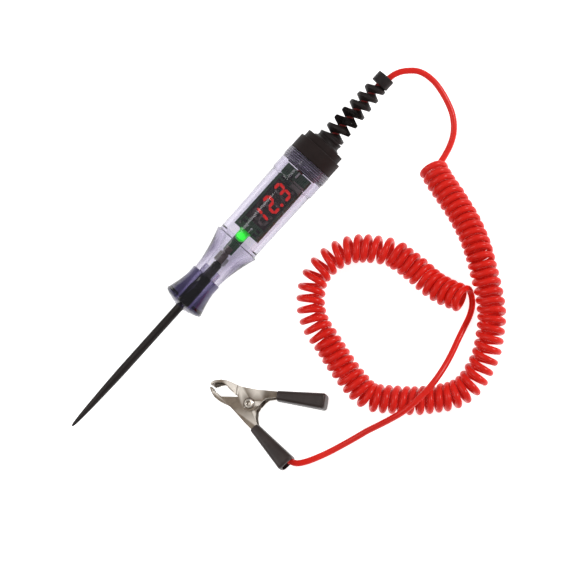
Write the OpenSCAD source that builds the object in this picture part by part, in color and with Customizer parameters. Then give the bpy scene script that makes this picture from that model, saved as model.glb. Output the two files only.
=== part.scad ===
// Automotive circuit test light, drawn lying at rest.
// The pen's axis runs along X, with the needle's point at the -X end and the
// cord at the +X end. The pen rests on z = 0, the origin is under the middle of
// its length. The curly cord and its sprung clip lie beside it, on the -Y side.

/* [Needle] */
// Diameter of the needle's straight shank
needle_d = 4; // [3.6:0.1:4.2]
// Length of the taper behind the point
taper_len = 33; // [28:1:38]
// Outer diameter of the black sleeve that holds the needle in the nose
sleeve_d = 6.2; // [5.9:0.1:6.6]

/* [Clear handle] */
// Largest diameter of the clear nose bell
bell_d = 20.1; // [19.4:0.1:20.8]
// Diameter of the handle's waist
waist_d = 14; // [13.4:0.1:14.8]
// Diameter of the flared finger guard
flare_d = 22.6; // [22.2:0.1:23]
// Diameter of the barrel just behind the guard
barrel_d = 20.7; // [20.2:0.1:21.2]
// Diameter of the collar ring, the widest place, which the pen rests on
collar_d = 23; // [23:0.1:23.6]
// Inside diameter of the barrel
bore_d = 16.8; // [16.7:0.1:17]

/* [Rear cap and strain relief] */
// Diameter of the black screwed cap
cap_d = 22.4; // [21.8:0.1:22.8]
// Diameter of the smaller step at the cap's end
cap_step_d = 19.7; // [19:0.1:20.2]
// Pitch of the strain relief's helical rib
rib_pitch = 4.86; // [4.8:0.02:4.92]
// Diameter over the first rib
rib_d1 = 11.3; // [10.8:0.1:11.6]
// Diameter over the last rib
rib_d2 = 8.8; // [8.6:0.1:9.2]

/* [Readout] */
// Height of a digit
digit_h = 8.6; // [8:0.1:8.8]
// Width of a digit
digit_w = 4.9; // [4.6:0.1:5]
// Width of a segment's bar
bar_w = 1.4; // [1.1:0.05:1.45]
// Distance between two digits
digit_pitch = 7.6; // [7.5:0.1:7.8]
// Lean of the digits, in degrees
digit_lean = 7; // [4:1:9]

/* [Cord] */
// Diameter of the cord
cord_d = 2.9; // [2.7:0.1:2.9]
// Diameter over the curly cord's turns
coil_d = 13.2; // [12.6:0.1:13.2]

/* [Clip] */
// Thickness of the clip's stamped sheet
sheet = 0.7; // [0.6:0.05:0.75]
// Diameter of the clip's rivet
rivet_d = 3; // [2.6:0.1:3.2]
// Running clearance of the moving jaw on the rivet, on the radius
rivet_gap = 0.06; // [0.03:0.01:0.09]
// Wall of the vinyl grips
grip_wall = 0.9; // [0.8:0.05:1]

/* [Hidden] */
// Height of the pen's axis above the surface it rests on
zc = collar_d / 2;
// Half of the pen's length, from the point to the strain relief's end
half_len = 106;
needle_r = needle_d / 2;
// The needle is a little thicker inside the nose, and thinner in its terminal
mid_r = needle_r + 0.2;
tang_r = needle_r - 0.3;
sleeve_r = sleeve_d / 2;
waist_r = waist_d / 2;
flare_r = flare_d / 2;
barrel_r = barrel_d / 2;
collar_r = collar_d / 2;
bore_r = bore_d / 2;
cap_r = cap_d / 2;
step_r = cap_step_d / 2;
cord_r = cord_d / 2;
// Top face of the circuit board, measured from the axis
board_top = -2;
board_t = 1.6;
// Readout: middle along the pen, height of its face above the axis
face_s = 134.4;
face_z = 4.2;
case_l = 22.6;
case_w = 10.2;
seg_depth = 0.8;
// Clip: pivot in the part's frame, and the turn of the clip's own axes
pivot = [-44.5, -53.4];
clip_turn = -47.84;
// Clip: levels of the sheets, from the rivet's lower head upwards
ear_lo = 0.8;
wall_lo = 1.7;
wall_hi = 8.7;
ear_hi = 9.6;
rivet_r = rivet_d / 2;

// Route of the straight cord from the strain relief to the coil
route_in = [
    [102, 0, zc], [104, -0.5, zc], [106, -1.3, 11.4], [108.6, -1.8, 11.2], [111.5, -3, 10.8],
    [114.6, -5.4, 10.1], [117.2, -8.5, 9.2], [118.5, -12.4, 8], [118.6, -17.4, 6.6],
    [117.5, -22.4, 5.2], [115.7, -27.4, 3.9], [113.4, -31.9, 2.9], [110.2, -35.8, 2.2],
    [106.3, -38.8, 1.7], [101.9, -40.8, 1.5], [97, -42.1, 1.5], [92.2, -42.9, 1.5]
];
// Middle line of the curly cord
route_coil = [
    [89.7, -38, 6.65], [88.2, -44, 6.65], [86.8, -49.6, 6.65], [84.4, -59.2, 6.65],
    [81.3, -69.7, 6.65], [78.1, -77.6, 6.65], [74.2, -84.9, 6.65], [69.8, -91.7, 6.65],
    [65.2, -98.5, 6.65], [59.9, -105.4, 6.65], [53.2, -111.4, 6.65], [45.7, -116.4, 6.65],
    [37.6, -120.1, 6.65], [30, -121.8, 6.65], [22.4, -120.8, 6.65], [16.3, -117.3, 6.65],
    [9.9, -111.8, 6.65], [3.9, -105.5, 6.65], [-1.6, -98.8, 6.65], [-5.6, -92.5, 6.65],
    [-6.2, -83.3, 6.65], [-4.1, -72.3, 6.65], [-1.2, -61.5, 6.65], [1.7, -51.9, 6.65],
    [6.2, -44.3, 6.65], [12.9, -38.7, 6.65], [22, -36, 6.65], [31.5, -37.2, 6.65],
    [38.9, -41.6, 6.65], [44.4, -48.3, 6.65], [48.6, -56.5, 6.65], [50, -66.7, 6.65],
    [50.1, -77, 6.65], [51.2, -84.9, 6.65], [53.4, -92.2, 6.65], [54.6, -95.9, 6.65]
];
// Route of the straight cord from the coil, over the coil, to the clip
route_out = [
    [56, -95, 1.6], [54.4, -97.7, 1.5], [50.5, -99.9, 1.7], [45.3, -101.7, 2.8],
    [39.5, -103.8, 4.8], [33.5, -106.2, 7.4], [27.5, -108.3, 10.2], [21.6, -109.8, 12.6],
    [15.6, -110.7, 14.4], [9.6, -110.8, 15.2], [3.7, -110.2, 15], [-1.9, -108.8, 13.6],
    [-7.3, -106.5, 10.9], [-12.7, -103.8, 7.8], [-18.2, -101, 5], [-24.2, -98.6, 3],
    [-30.5, -96.2, 1.9], [-36.7, -93.9, 2], [-42.3, -91.6, 3], [-47, -89.3, 4.2],
    [-50.2, -86.8, 5], [-51.4, -83.9, 5.2], [-51.65, -80.6, 5.2], [-51.65, -77.9, 5.2]
];

// The pen lies rolled a little about its own axis
roll = 14;
module rolled() { translate([0, 0, zc]) rotate([roll, 0, 0]) translate([0, 0, -zc]) children(); }

// Turned shape about the pen's axis: points are [radius, distance from the point]
module turned(pts) {
    translate([-half_len, 0, zc]) rotate([0, 90, 0]) rotate_extrude($fn = 96) polygon(pts);
}

// A block by its limits: s along the pen from the point, y, and z from the axis
module slab(s, y, z) {
    translate([s[0] - half_len, y[0], zc + z[0]]) cube([s[1] - s[0], y[1] - y[0], z[1] - z[0]]);
}

// ---------------------------------------------------------------- needle

function taper_r(s) = needle_r * pow(s / taper_len, 0.35);

module probe_needle() {
    color([0.07, 0.07, 0.075])
    turned(concat(
        [[0, 0], [0.1, 0.02], [0.34, 0.8]],
        [for (s = [2 : 1.5 : taper_len - 1]) [taper_r(s), s]],
        [[needle_r, taper_len], [needle_r, 72.3], [mid_r, 72.45], [mid_r, 98.9], [tang_r, 99.2],
         [tang_r, 102.6], [tang_r - 0.3, 102.9], [0, 102.9]]
    ));
}

module needle_sleeve() {
    color([0.05, 0.05, 0.055])
    turned([[mid_r + 0.01, 72.6], [sleeve_r - 0.3, 72.6], [sleeve_r, 73], [sleeve_r, 84],
        [sleeve_r - 0.25, 84.4], [sleeve_r - 0.25, 90.2], [sleeve_r - 0.4, 90.5],
        [mid_r + 0.01, 90.5]]);
}

// ---------------------------------------------------------------- clear plastics

module nose_bell() {
    r = bell_d / 2;
    color([0.62, 0.6, 0.8, 0.5])
    turned(concat(
        [[sleeve_r + 0.03, 72.8], [3.9, 72.9], [5.4, 73.25], [6.7, 73.65], [7.8, 74.05],
         [r - 1.1, 74.45], [r - 0.45, 74.9], [r - 0.1, 75.35], [r, 75.8]],
        [for (s = [76.8 : 1.1 : 86.8]) [7.5 + (r - 7.5) * pow((87 - s) / 11.3, 1.4), s]],
        [[7.5, 87.4], [7.5, 89.2], [7.6, 90.4], [7.5, 90.9],
         [4.55, 90.9], [4.55, 95.2], [4.3, 95.5], [sleeve_r + 0.03, 95.5]]
    ));
}

module handle_body() {
    color([0.85, 0.85, 0.92, 0.35])
    turned(concat(
        [[4.6, 90.95]],
        [for (k = [0 : 1 : 19]) let(s = 90.95 + k * 19.8 / 19)
            [waist_r + (flare_r - waist_r) * pow(k / 19, 1.6), s]],
        [[flare_r, 111.05], [flare_r - 0.2, 111.35], [barrel_r + 0.1, 111.5], [barrel_r, 111.8],
         [barrel_r + 0.4, 147.2], [barrel_r + 0.5, 147.6], [11.2, 148.1], [11.25, 148.4],
         [11.25, 155.4], [collar_r, 155.6], [collar_r, 160.2], [collar_r - 0.2, 160.4],
         [bore_r, 160.4]],
        [[bore_r, 113.4], [bore_r - 0.3, 112.2], [7.5, 110.6], [6.7, 108.8], [5.9, 107],
         [5.2, 105.4], [4.8, 104.3], [4.6, 103.2]]
    ));
}

// ---------------------------------------------------------------- rear cap

module end_cap() {
    color([0.06, 0.055, 0.055])
    turned([[6.2, 154], [7.6, 154], [7.9, 154.3], [7.9, 160.5],
        [cap_r - 0.25, 160.5], [cap_r, 160.9], [cap_r, 167.3], [cap_r - 0.3, 167.6],
        [step_r, 167.6], [step_r, 170.7], [step_r - 0.3, 171], [6.2, 171], [5.75, 171],
        [3.65, 171], [3.65, 168], [6.2, 168]]);
}

// Height of the helical rib at a place along the pen
function rib_r(s) = rib_d1 / 2 + (rib_d2 - rib_d1) / 2 * min(1, max(0, (s - 178.65) / 28.4));
// One section of the rib at an angle about the axis, counted from +Y towards +Z
function rib_section(a) = let(s = 178.65 + rib_pitch * a / 360, rt = rib_r(s),
    ri = cord_r + 0.2,
    p = [[s - 2, ri], [s - 0.7, rt], [s + 0.7, rt], [s + 2, ri]])
    [for (q = p) [q[0] - half_len, q[1] * cos(a), zc + q[1] * sin(a)]];

module strain_relief() {
    a0 = -403;
    steps = 138;
    n = 4;
    pts = [for (i = [0 : steps]) each rib_section(a0 + 18 * i)];
    sides = [for (i = [0 : steps - 1]) for (k = [0 : n - 1]) let(k1 = (k + 1) % n)
        each [[i * n + k, i * n + k1, (i + 1) * n + k1],
              [i * n + k, (i + 1) * n + k1, (i + 1) * n + k]]];
    color([0.05, 0.05, 0.05]) {
        polyhedron(points = pts, faces = concat([[3, 2, 1], [3, 1, 0]],
            [[steps * n, steps * n + 1, steps * n + 2], [steps * n, steps * n + 2, steps * n + 3]],
            sides));
        turned([[cord_r + 0.07, 165.4], [5.9, 165.4], [5.9, 167.9], [3.6, 167.9], [3.6, 171.05],
            [7, 171.05], [6.9, 171.3], [6.3, 171.8], [5.7, 172.3], [5.6, 173.4],
            [5.9, 174], [5.85, 174.7], [5.6, 174.9], [cord_r + 0.07, 174.9]]);
        // end block with a flared mouth, in which the cord bends
        turned([[cord_r + 0.07, 206.9], [4.1, 206.9], [4.2, 207.1], [4.2, 211.7], [3.9, 212],
            [3.1, 212], [cord_r + 0.07, 208]]);
    }
}

// ---------------------------------------------------------------- electronics

pin_s = [for (k = [0 : 5]) face_s - 9.5 + 3.8 * k];

module board_outline() {
    polygon([[105, -2.05], [113.2, -2.05], [117, -2.05], [117, -7.4], [153.6, -7.4],
        [153.6, 7.4], [117, 7.4], [117, 3.25], [105, 3.25]]);
}

module circuit_board() {
    color([0.05, 0.3, 0.14])
    difference() {
        translate([-half_len, 0, zc + board_top - board_t]) linear_extrude(board_t) board_outline();
        for (s = pin_s) for (y = [-3.81, 3.81])
            translate([s - half_len, y, zc + board_top - 3]) cylinder(r = 0.4, h = 4, $fn = 24);
        for (y = [-0.67, 1.87])
            translate([120 - half_len, y, zc + board_top - 3]) cylinder(r = 0.45, h = 4, $fn = 24);
        for (y = [-5.4, 5.4])
            translate([119 - half_len, y, zc + board_top - 3]) cylinder(r = 0.6, h = 4, $fn = 24);
    }
}

module probe_terminal() {
    color([0.42, 0.38, 0.34])
    difference() {
        union() {
            slab([99.8, 104.4], [-1.2, 2.9], [-2.6, 2.5]);
            slab([104.3, 107.6], [-0.9, 2.7], [board_top, board_top + 0.6]);
            slab([103.9, 104.6], [-0.9, 2.7], [board_top, 0.4]);
        }
        translate([99 - half_len, 0, zc]) rotate([0, 90, 0]) cylinder(r = tang_r + 0.01, h = 4, $fn = 64);
    }
}

module contact_tab() {
    color([0.85, 0.85, 0.85])
    difference() {
        slab([99.6, 103.4], [-2.6, -1.25], [-2.3, 2.2]);
        translate([99 - half_len, 0, zc]) rotate([0, 90, 0]) cylinder(r = tang_r + 0.01, h = 6, $fn = 64);
    }
}

// Segment bars: [middle x, middle y, true for an upright bar]
bars = let(x = (digit_w - bar_w) / 2, y = (digit_h - bar_w) / 2) [
    [0, y, false], [x, y / 2, true], [x, -y / 2, true], [0, -y, false],
    [-x, -y / 2, true], [-x, y / 2, true], [0, 0, false]];
// Bars that are lit in each digit, and the rest
lit = [[1, 2], [0, 1, 6, 4, 3], [0, 1, 6, 2, 3]];
function lean(p) = [p[0] + p[1] * tan(digit_lean), p[1]];

module bar_shape(b, g) {
    l = (b[2] ? (digit_h - bar_w) / 4 : (digit_w - bar_w) / 2) - g;
    h = bar_w / 2 - g / 2;
    raw = [[-l, 0], [-l + h, h], [l - h, h], [l, 0], [l - h, -h], [-l + h, -h]];
    polygon([for (p = raw) lean(b[2] ? [b[0] + p[1], b[1] + p[0]] : [b[0] + p[0], b[1] + p[1]])]);
}

module digits(want_lit, g, z, h) {
    for (d = [0 : 2]) for (k = [0 : 6])
        if ((len(search(k, lit[d])) > 0) == want_lit)
            translate([face_s + (d - 1) * digit_pitch - half_len, 0, zc + z])
                linear_extrude(h) bar_shape(bars[k], g);
    for (d = [0 : 2]) if ((d == 1) == want_lit)
        translate([face_s + (d - 1) * digit_pitch + 3 - half_len, -(digit_h - bar_w) / 2, zc + z])
            cylinder(r = bar_w / 2 + 0.1 - g / 2, h = h, $fn = 32);
}

module display_case() {
    color([0.13, 0.12, 0.12])
    difference() {
        slab([face_s - case_l / 2, face_s + case_l / 2], [-case_w / 2, case_w / 2],
            [board_top + 0.15, face_z]);
        digits(true, 0.06, face_z - seg_depth, 2);
        digits(false, 0.06, face_z - seg_depth, 2);
    }
}

module lit_segments() {
    color([1, 0.1, 0.08]) digits(true, 0.1, face_z - seg_depth, seg_depth - 0.02);
}

module unlit_segments() {
    color([0.35, 0.3, 0.3]) digits(false, 0.1, face_z - seg_depth, seg_depth - 0.02);
}

module display_pins() {
    color([0.8, 0.8, 0.8])
    for (s = pin_s) for (y = [-3.81, 3.81])
        translate([s - half_len, y, zc + board_top - 3.1]) cylinder(r = 0.25, h = 3.25, $fn = 24);
}

module indicator_led() {
    color([0.2, 1, 0.3, 0.8])
    translate([117.7 - half_len, 0.6, zc + 1.05]) rotate([0, -90, 0]) rotate_extrude($fn = 48)
        polygon(concat([[0, 0], [2.9, 0], [2.9, 1], [2.5, 1]],
            [for (a = [0 : 9 : 90]) [2.5 * cos(a), 4.2 + 2.5 * sin(a)]]));
}

module led_leads() {
    color([0.8, 0.8, 0.8])
    for (y = [-0.67, 1.87]) {
        slab([117.7, 120.25], [y - 0.25, y + 0.25], [0.8, 1.3]);
        slab([119.75, 120.25], [y - 0.25, y + 0.25], [board_top - board_t - 0.8, 1.3]);
    }
}

module controller_chip() {
    color([0.08, 0.08, 0.09])
    difference() {
        slab([124.6, 134.5], [-1.95, 1.95], [board_top - board_t - 1.6, board_top - board_t - 0.12]);
        translate([125.6 - half_len, -1.1, zc + board_top - board_t - 1.7]) cylinder(r = 0.35, h = 0.2, $fn = 24);
    }
}

module chip_legs() {
    under = board_top - board_t;
    color([0.8, 0.8, 0.8])
    for (k = [0 : 7]) for (m = [-1, 1]) let(s = 125.1 + 1.27 * k) {
        slab([s - 0.2, s + 0.2], m > 0 ? [1.95, 2.5] : [-2.5, -1.95], [under - 0.95, under - 0.75]);
        slab([s - 0.2, s + 0.2], m > 0 ? [2.3, 2.5] : [-2.5, -2.3], [under - 0.95, under]);
        slab([s - 0.2, s + 0.2], m > 0 ? [2.3, 3] : [-3, -2.3], [under - 0.2, under]);
    }
}

module resistors() {
    color([0.1, 0.1, 0.1]) {
        slab([118.2, 119.5], [-4.6, -2.6], [board_top, board_top + 0.55]);
        slab([120.4, 121.7], [-4.9, -2.9], [board_top, board_top + 0.55]);
        slab([120.3, 121.6], [3.2, 5.2], [board_top, board_top + 0.55]);
        slab([147.2, 148.5], [3.4, 5.4], [board_top, board_top + 0.55]);
        slab([149.3, 150.6], [1.2, 3.2], [board_top, board_top + 0.55]);
    }
}

module smoothing_capacitor() {
    color([0.55, 0.5, 0.47])
    slab([146.3, 149.4], [-6.2, -0.6], [board_top, 0.9]);
}

module voltage_regulator() {
    color([0.09, 0.09, 0.09]) {
        slab([146.2, 149], [0.2, 2.9], [board_top, board_top + 1.5]);
    }
}

module protection_diode() {
    color([0.1, 0.1, 0.1])
    slab([138.4, 142.7], [-1.3, 1.3], [board_top - board_t - 2.1, board_top - board_t]);
}

module inner_lead() {
    color([0.8, 0.1, 0.08])
    translate([153.4 - half_len, 0, zc]) rotate([0, 90, 0]) cylinder(r = cord_r, h = 54.6, $fn = 48);
}

// The stripped strands, from the cord's end down to their pad
module lead_core() {
    color([0.8, 0.75, 0.7]) {
        translate([151 - half_len, 0, zc]) rotate([0, 90, 0]) cylinder(r = 0.45, h = 2.4, $fn = 24);
        translate([151 - half_len, 0, zc]) sphere(r = 0.45, $fn = 24);
        translate([151 - half_len, 0, zc + board_top]) cylinder(r = 0.45, h = -board_top, $fn = 24);
    }
}

// ---------------------------------------------------------------- cord

function unit(v) = v / norm(v);
function heading(p, i) = unit(i == 0 ? p[1] - p[0] :
    i == len(p) - 1 ? p[i] - p[i - 1] : p[i + 1] - p[i - 1]);
function ring(p, i, r, n) = let(t = heading(p, i), s = unit(cross(t, [0, 0, 1])), u = cross(s, t))
    [for (k = [0 : n - 1]) p[i] + r * cos(360 * k / n) * s + r * sin(360 * k / n) * u];

module swept(p, r, n) {
    m = len(p) - 1;
    pts = [for (i = [0 : m]) each ring(p, i, r, n)];
    sides = [for (i = [0 : m - 1]) for (k = [0 : n - 1]) let(k1 = (k + 1) % n)
        each [[i * n + k, i * n + k1, (i + 1) * n + k1],
              [i * n + k, (i + 1) * n + k1, (i + 1) * n + k]]];
    polyhedron(points = pts, faces = concat([[for (k = [0 : n - 1]) n - 1 - k]],
        [[for (k = [0 : n - 1]) m * n + k]], sides));
}

module cord_lead_in() { color([0.9, 0.1, 0.08]) swept(route_in, cord_r, 8); }
module curly_cord() { color([0.9, 0.1, 0.08]) swept(route_coil, coil_d / 2, 12); }
module cord_lead_out() { color([0.9, 0.1, 0.08]) swept(route_out, cord_r, 8); }

// ---------------------------------------------------------------- clip
// The clip's own frame: x along the upper handle, y across, pivot at the origin.

module on_clip() { translate([pivot[0], pivot[1], 0]) rotate([0, 0, clip_turn]) children(); }
module level(z, h) { translate([0, 0, z]) linear_extrude(h) children(); }

// Outer line of the moving lever, from the jaw's tip to the handle's end
up_line = [[-18.2, 9.15], [-17.6, 10.05], [-16.5, 10.7], [-14.9, 11], [-12.85, 11.1], [-10.6, 10.75],
    [-8.55, 10], [-6.4, 8.9], [-4.55, 8], [-2.3, 7.35], [0.55, 6.75], [3.8, 6.15], [7.75, 5.75],
    [12.3, 5.4], [14.5, 4.65], [20, 4.2], [30, 3.5]];
// Outer line of the fixed lever, from the jaw's tip to the handle's end
low_line = [[-18.3, 7.8], [-17.85, 6.3], [-17.1, 4.65], [-15.9, 3], [-14, 1.45], [-11.75, 0.45],
    [-9.85, -0.5], [-8.4, -1.75], [-5.3, -5.05], [-2.1, -8.65], [1.45, -12.15], [6.3, -17.7], [12.3, -24.85]];

function side_of(p, i) = let(t = i == 0 ? p[1] - p[0] : i == len(p) - 1 ? p[i] - p[i - 1] :
    p[i + 1] - p[i - 1], u = t / norm(t)) [u[1], -u[0]];
// The line moved sideways by d, to the right of its run when d is positive
function moved(p, d) = [for (i = [0 : len(p) - 1]) p[i] + d * side_of(p, i)];
function back(p) = [for (i = [len(p) - 1 : -1 : 0]) p[i]];
function part_of(p, a, b) = [for (i = [a : b]) p[i]];

module web(line, d) { polygon(concat(line, back(moved(line, d)))); }

// Saw teeth along a straight edge from a to b, standing to the left of the run
module teeth(a, b, n, h) {
    u = (b - a) / n;
    v = h * [-u[1], u[0]] / norm(u);
    polygon(concat([for (i = [0 : n - 1]) each [a + u * i, a + u * (i + 0.5) + v]], [b,
        b - 0.5 * v, a - 0.5 * v]));
}

module clip_upper_lever() {
    color([0.72, 0.69, 0.65])
    on_clip() difference() {
        union() {
            // spine
            level(wall_lo, wall_hi - wall_lo) web(up_line, sheet);
            level(ear_lo, ear_hi - ear_lo) web(part_of(up_line, 8, 12), sheet);
            // jaw walls, the far one a little deeper
            level(wall_hi - sheet, sheet) polygon(concat(part_of(up_line, 0, 8),
                [[-5.65, 6], [-6.35, 4], [-7.7, 5.35], [-9.35, 6.9], [-10.8, 8.7], [-12.2, 9.65],
                 [-14.45, 9.95], [-16.3, 9.6], [-17.4, 8.9]]));
            level(wall_lo, sheet) polygon(concat(part_of(up_line, 0, 8),
                [[-5.65, 6], [-6.35, 4], [-7.7, 5.35], [-9.35, 6.9], [-10.8, 8.5], [-12.2, 9.3],
                 [-14.6, 8.95], [-16.9, 8.3], [-17.4, 8.7]]));
            level(wall_lo, sheet) teeth([-16.9, 8.3], [-14.6, 8.95], 3, -0.35);
            level(wall_lo, wall_hi - wall_lo) polygon([[-18.2, 9.15], [-17.6, 10.05], [-16.8, 9.6], [-17.5, 8.6]]);
            // ears about the rivet, and the handle's walls as far as the grip
            for (z = [ear_lo, ear_hi - sheet]) level(z, sheet) {
                translate([0, 0.25]) circle(r = 3.7, $fn = 64);
                polygon(concat([[-5.15, 5.8], [-4.55, 8]], part_of(up_line, 9, 12),
                    [[7.8, 2.2], [6.2, 1], [4.5, -0.9], [3.4, -1.6], [-2.7, -2.35], [-3.75, -0.6],
                     [-5, 1.95], [-5.3, 3.8]]));
            }
            // joggles from the ears to the jaw and to the handle
            hull() {
                level(ear_hi - sheet, sheet) polygon([[-5.15, 5.8], [-4.55, 8], [-4.75, 8.15], [-5.35, 5.9], [-5.4, 3.8], [-5.3, 3.8]]);
                level(wall_hi - sheet, sheet) polygon([[-5.65, 6], [-5.5, 8.5], [-5.7, 8.6], [-6.35, 6], [-6.45, 4.1], [-6.35, 4]]);
            }
            hull() {
                level(ear_lo, sheet) polygon([[-5.15, 5.8], [-4.55, 8], [-4.75, 8.15], [-5.35, 5.9], [-5.4, 3.8], [-5.3, 3.8]]);
                level(wall_lo, sheet) polygon([[-5.65, 6], [-5.5, 8.5], [-5.7, 8.6], [-6.35, 6], [-6.45, 4.1], [-6.35, 4]]);
            }
            hull() {
                level(ear_hi - sheet, sheet) polygon([[7.8, 2.2], [7.75, 5.75], [7.65, 5.75], [7.7, 2.15]]);
                level(wall_hi - sheet, sheet) polygon([[12.1, 2.6], [12.05, 5.4], [12.15, 5.4], [12.2, 2.6]]);
            }
            hull() {
                level(ear_lo, sheet) polygon([[7.8, 2.2], [7.75, 5.75], [7.65, 5.75], [7.7, 2.15]]);
                level(wall_lo, sheet) polygon([[12.1, 2.6], [12.05, 5.4], [12.15, 5.4], [12.2, 2.6]]);
            }
            // handle inside the grip
            for (z = [wall_lo, wall_hi - sheet]) level(z, sheet) polygon([[12.05, 5.4], [12.3, 5.4],
                [14.5, 4.65], [20, 4.2], [30, 3.5], [30, 0.2], [20, 1.5], [12.1, 2.6]]);
        }
        translate([0, 0, -1]) cylinder(r = rivet_r + rivet_gap, h = 12, $fn = 64);
    }
}

module clip_lower_lever() {
    color([0.74, 0.71, 0.67])
    on_clip() difference() {
        union() {
            level(wall_lo, wall_hi - wall_lo) web(low_line, -sheet);
            for (z = [wall_lo, wall_hi - sheet]) level(z, sheet) {
                polygon(concat(low_line, [[13.9, -23.65], [8.7, -17.1], [5.4, -12.6], [3.85, -10.15],
                    [3.1, -8.1], [2.85, -6.1], [3, -3.25], [3.8, -0.8], [2.1, 3.25], [-0.35, 4.5], [-3.4, 3.55],
                    [-5, 3.15], [-6.4, 3.15], [-13.55, 3.4], [-15.7, 5.05], [-16.65, 6.05], [-17.35, 7.6]]));
                circle(r = 4.3, $fn = 64);
                teeth([-13.55, 3.4], [-16.65, 6.05], 4, -0.35);
            }
            level(wall_lo, wall_hi - wall_lo) polygon([[-18.3, 7.8], [-17.95, 6.7], [-17.05, 6.7], [-17.25, 7.7]]);
        }
        translate([0, 0, -1]) cylinder(r = rivet_r + 0.01, h = 12, $fn = 64);
    }
}

module clip_rivet() {
    color([0.8, 0.78, 0.74])
    on_clip() difference() {
        rotate_extrude($fn = 64) polygon([[0, 0], [1.9, 0], [2.2, 0.2], [2.2, 0.55], [2.05, 0.75],
            [rivet_r, 0.75], [rivet_r, 9.65], [2.05, 9.65], [2.2, 9.85], [2.2, 10.2], [1.9, 10.4], [0, 10.4]]);
        translate([0, 0, 8.6]) cylinder(r = 0.8, h = 2, $fn = 32);
    }
}

// Torsion spring: a wound helix about the rivet, with a leg along each handle
spring_r = 2.35;
wire_r = 0.4;
wound = [for (i = [0 : 59]) let(a = 203.5 - 1179.5 * i / 59) [spring_r * cos(a), spring_r * sin(a),
    3.4 + 3.6 * i / 59]];
spring_path = concat([[2.4, -11.4, 3.4], [0.9, -7.9, 3.4], [-0.6, -4.5, 3.4], [-1.8, -1.75, 3.4]], wound,
    [[1.2, 2.72, 7], [4.4, 3.52, 7], [7.9, 4.4, 7]]);

module clip_spring() {
    color([0.45, 0.42, 0.38]) on_clip() swept(spring_path, wire_r, 6);
}

// A grip: rounded box that widens along its run; a, b: ends of its middle line,
// w: widths, h: depths, about mid height of the clip
module grip_body(a, b, w, h) {
    d = b - a;
    zm = (wall_lo + wall_hi) / 2;
    translate([a[0], a[1], zm]) rotate([0, 0, atan2(d[1], d[0])]) rotate([0, 90, 0]) hull() {
        for (x = [-1, 1]) for (y = [-1, 1]) {
            translate([x * (h[0] / 2 - 1.4), y * (w[0] / 2 - 1.4), 0]) cylinder(r = 1.4, h = 0.5, $fn = 32);
            translate([x * (h[1] / 2 - 2.2), y * (w[1] / 2 - 2.2), norm(d) - 1.2]) cylinder(r = 2.2, h = 0.6, $fn = 32);
            translate([x * (h[1] / 2 - 2.2), y * (w[1] / 2 - 2.2), norm(d) - 0.6]) cylinder(r1 = 2.2, r2 = 1.7, h = 0.6, $fn = 32);
        }
    }
}

module upper_grip() {
    color([0.1, 0.095, 0.095])
    on_clip() difference() {
        grip_body([12.4, 3.6], [34.4, 0.6], [4.6, 7.5], [8.6, 10.2]);
        // pocket for the handle
        level(wall_lo - 0.03, wall_hi - wall_lo + 0.06) polygon([[11.5, 5.43], [12.32, 5.43],
            [14.51, 4.68], [20, 4.23], [30.03, 3.53], [30.03, 0.16], [20, 1.46], [11.5, 2.6]]);
    }
}

module lower_grip() {
    color([0.1, 0.095, 0.095])
    on_clip() difference() {
        grip_body([1.95, -10.65], [17.1, -27.25], [4.5, 8.5], [8.6, 10.2]);
        // pocket for the handle and the cord, open at the end
        level(wall_lo - 0.03, wall_hi - wall_lo + 0.06) polygon([[0.56, -11.1], [1.41, -12.18],
            [6.26, -17.72], [12.3, -24.95], [15.8, -29.85], [20.35, -25.65], [15.95, -21.55],
            [3.9, -10.05], [2.85, -9]]);
    }
}

module cord_crimp() {
    color([0.75, 0.73, 0.7])
    translate([-51.65, -77.1, (wall_lo + wall_hi) / 2]) rotate([90, 0, 0]) difference() {
        cylinder(r = 1.85, h = 3.6, $fn = 48);
        translate([0, 0, 0.8]) cylinder(r = cord_r + 0.05, h = 4, $fn = 48);
    }
}

// ---------------------------------------------------------------- assembly

probe_needle();
needle_sleeve();
nose_bell();
handle_body();
end_cap();
rolled() strain_relief();
rolled() circuit_board();
rolled() probe_terminal();
rolled() contact_tab();
rolled() display_case();
rolled() lit_segments();
rolled() unlit_segments();
rolled() display_pins();
rolled() indicator_led();
rolled() led_leads();
rolled() controller_chip();
rolled() chip_legs();
rolled() resistors();
rolled() smoothing_capacitor();
rolled() voltage_regulator();
rolled() protection_diode();
inner_lead();
rolled() lead_core();
cord_lead_in();
curly_cord();
cord_lead_out();
clip_lower_lever();
clip_upper_lever();
clip_rivet();
clip_spring();
lower_grip();
upper_grip();
cord_crimp();
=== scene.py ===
import math
import bpy
import bmesh
import numpy as np
from mathutils import Vector, Matrix


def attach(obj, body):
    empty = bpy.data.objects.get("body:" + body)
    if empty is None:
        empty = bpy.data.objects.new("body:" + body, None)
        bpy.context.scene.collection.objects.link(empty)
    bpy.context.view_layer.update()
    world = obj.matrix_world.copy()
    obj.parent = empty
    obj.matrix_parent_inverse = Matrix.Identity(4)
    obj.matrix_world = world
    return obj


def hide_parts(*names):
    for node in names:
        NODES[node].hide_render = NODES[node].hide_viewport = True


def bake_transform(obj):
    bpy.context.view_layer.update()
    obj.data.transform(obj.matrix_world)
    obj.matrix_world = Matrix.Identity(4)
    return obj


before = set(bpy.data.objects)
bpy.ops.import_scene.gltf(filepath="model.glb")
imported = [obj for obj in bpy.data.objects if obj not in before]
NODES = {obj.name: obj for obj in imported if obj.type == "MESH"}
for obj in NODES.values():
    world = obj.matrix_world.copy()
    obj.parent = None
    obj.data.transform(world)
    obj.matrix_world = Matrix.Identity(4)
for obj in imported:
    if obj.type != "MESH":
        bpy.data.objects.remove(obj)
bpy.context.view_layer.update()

MM = 0.001
SCENE = bpy.context.scene
THETA = math.radians(48.01)   # the pen's slope in the picture
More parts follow.
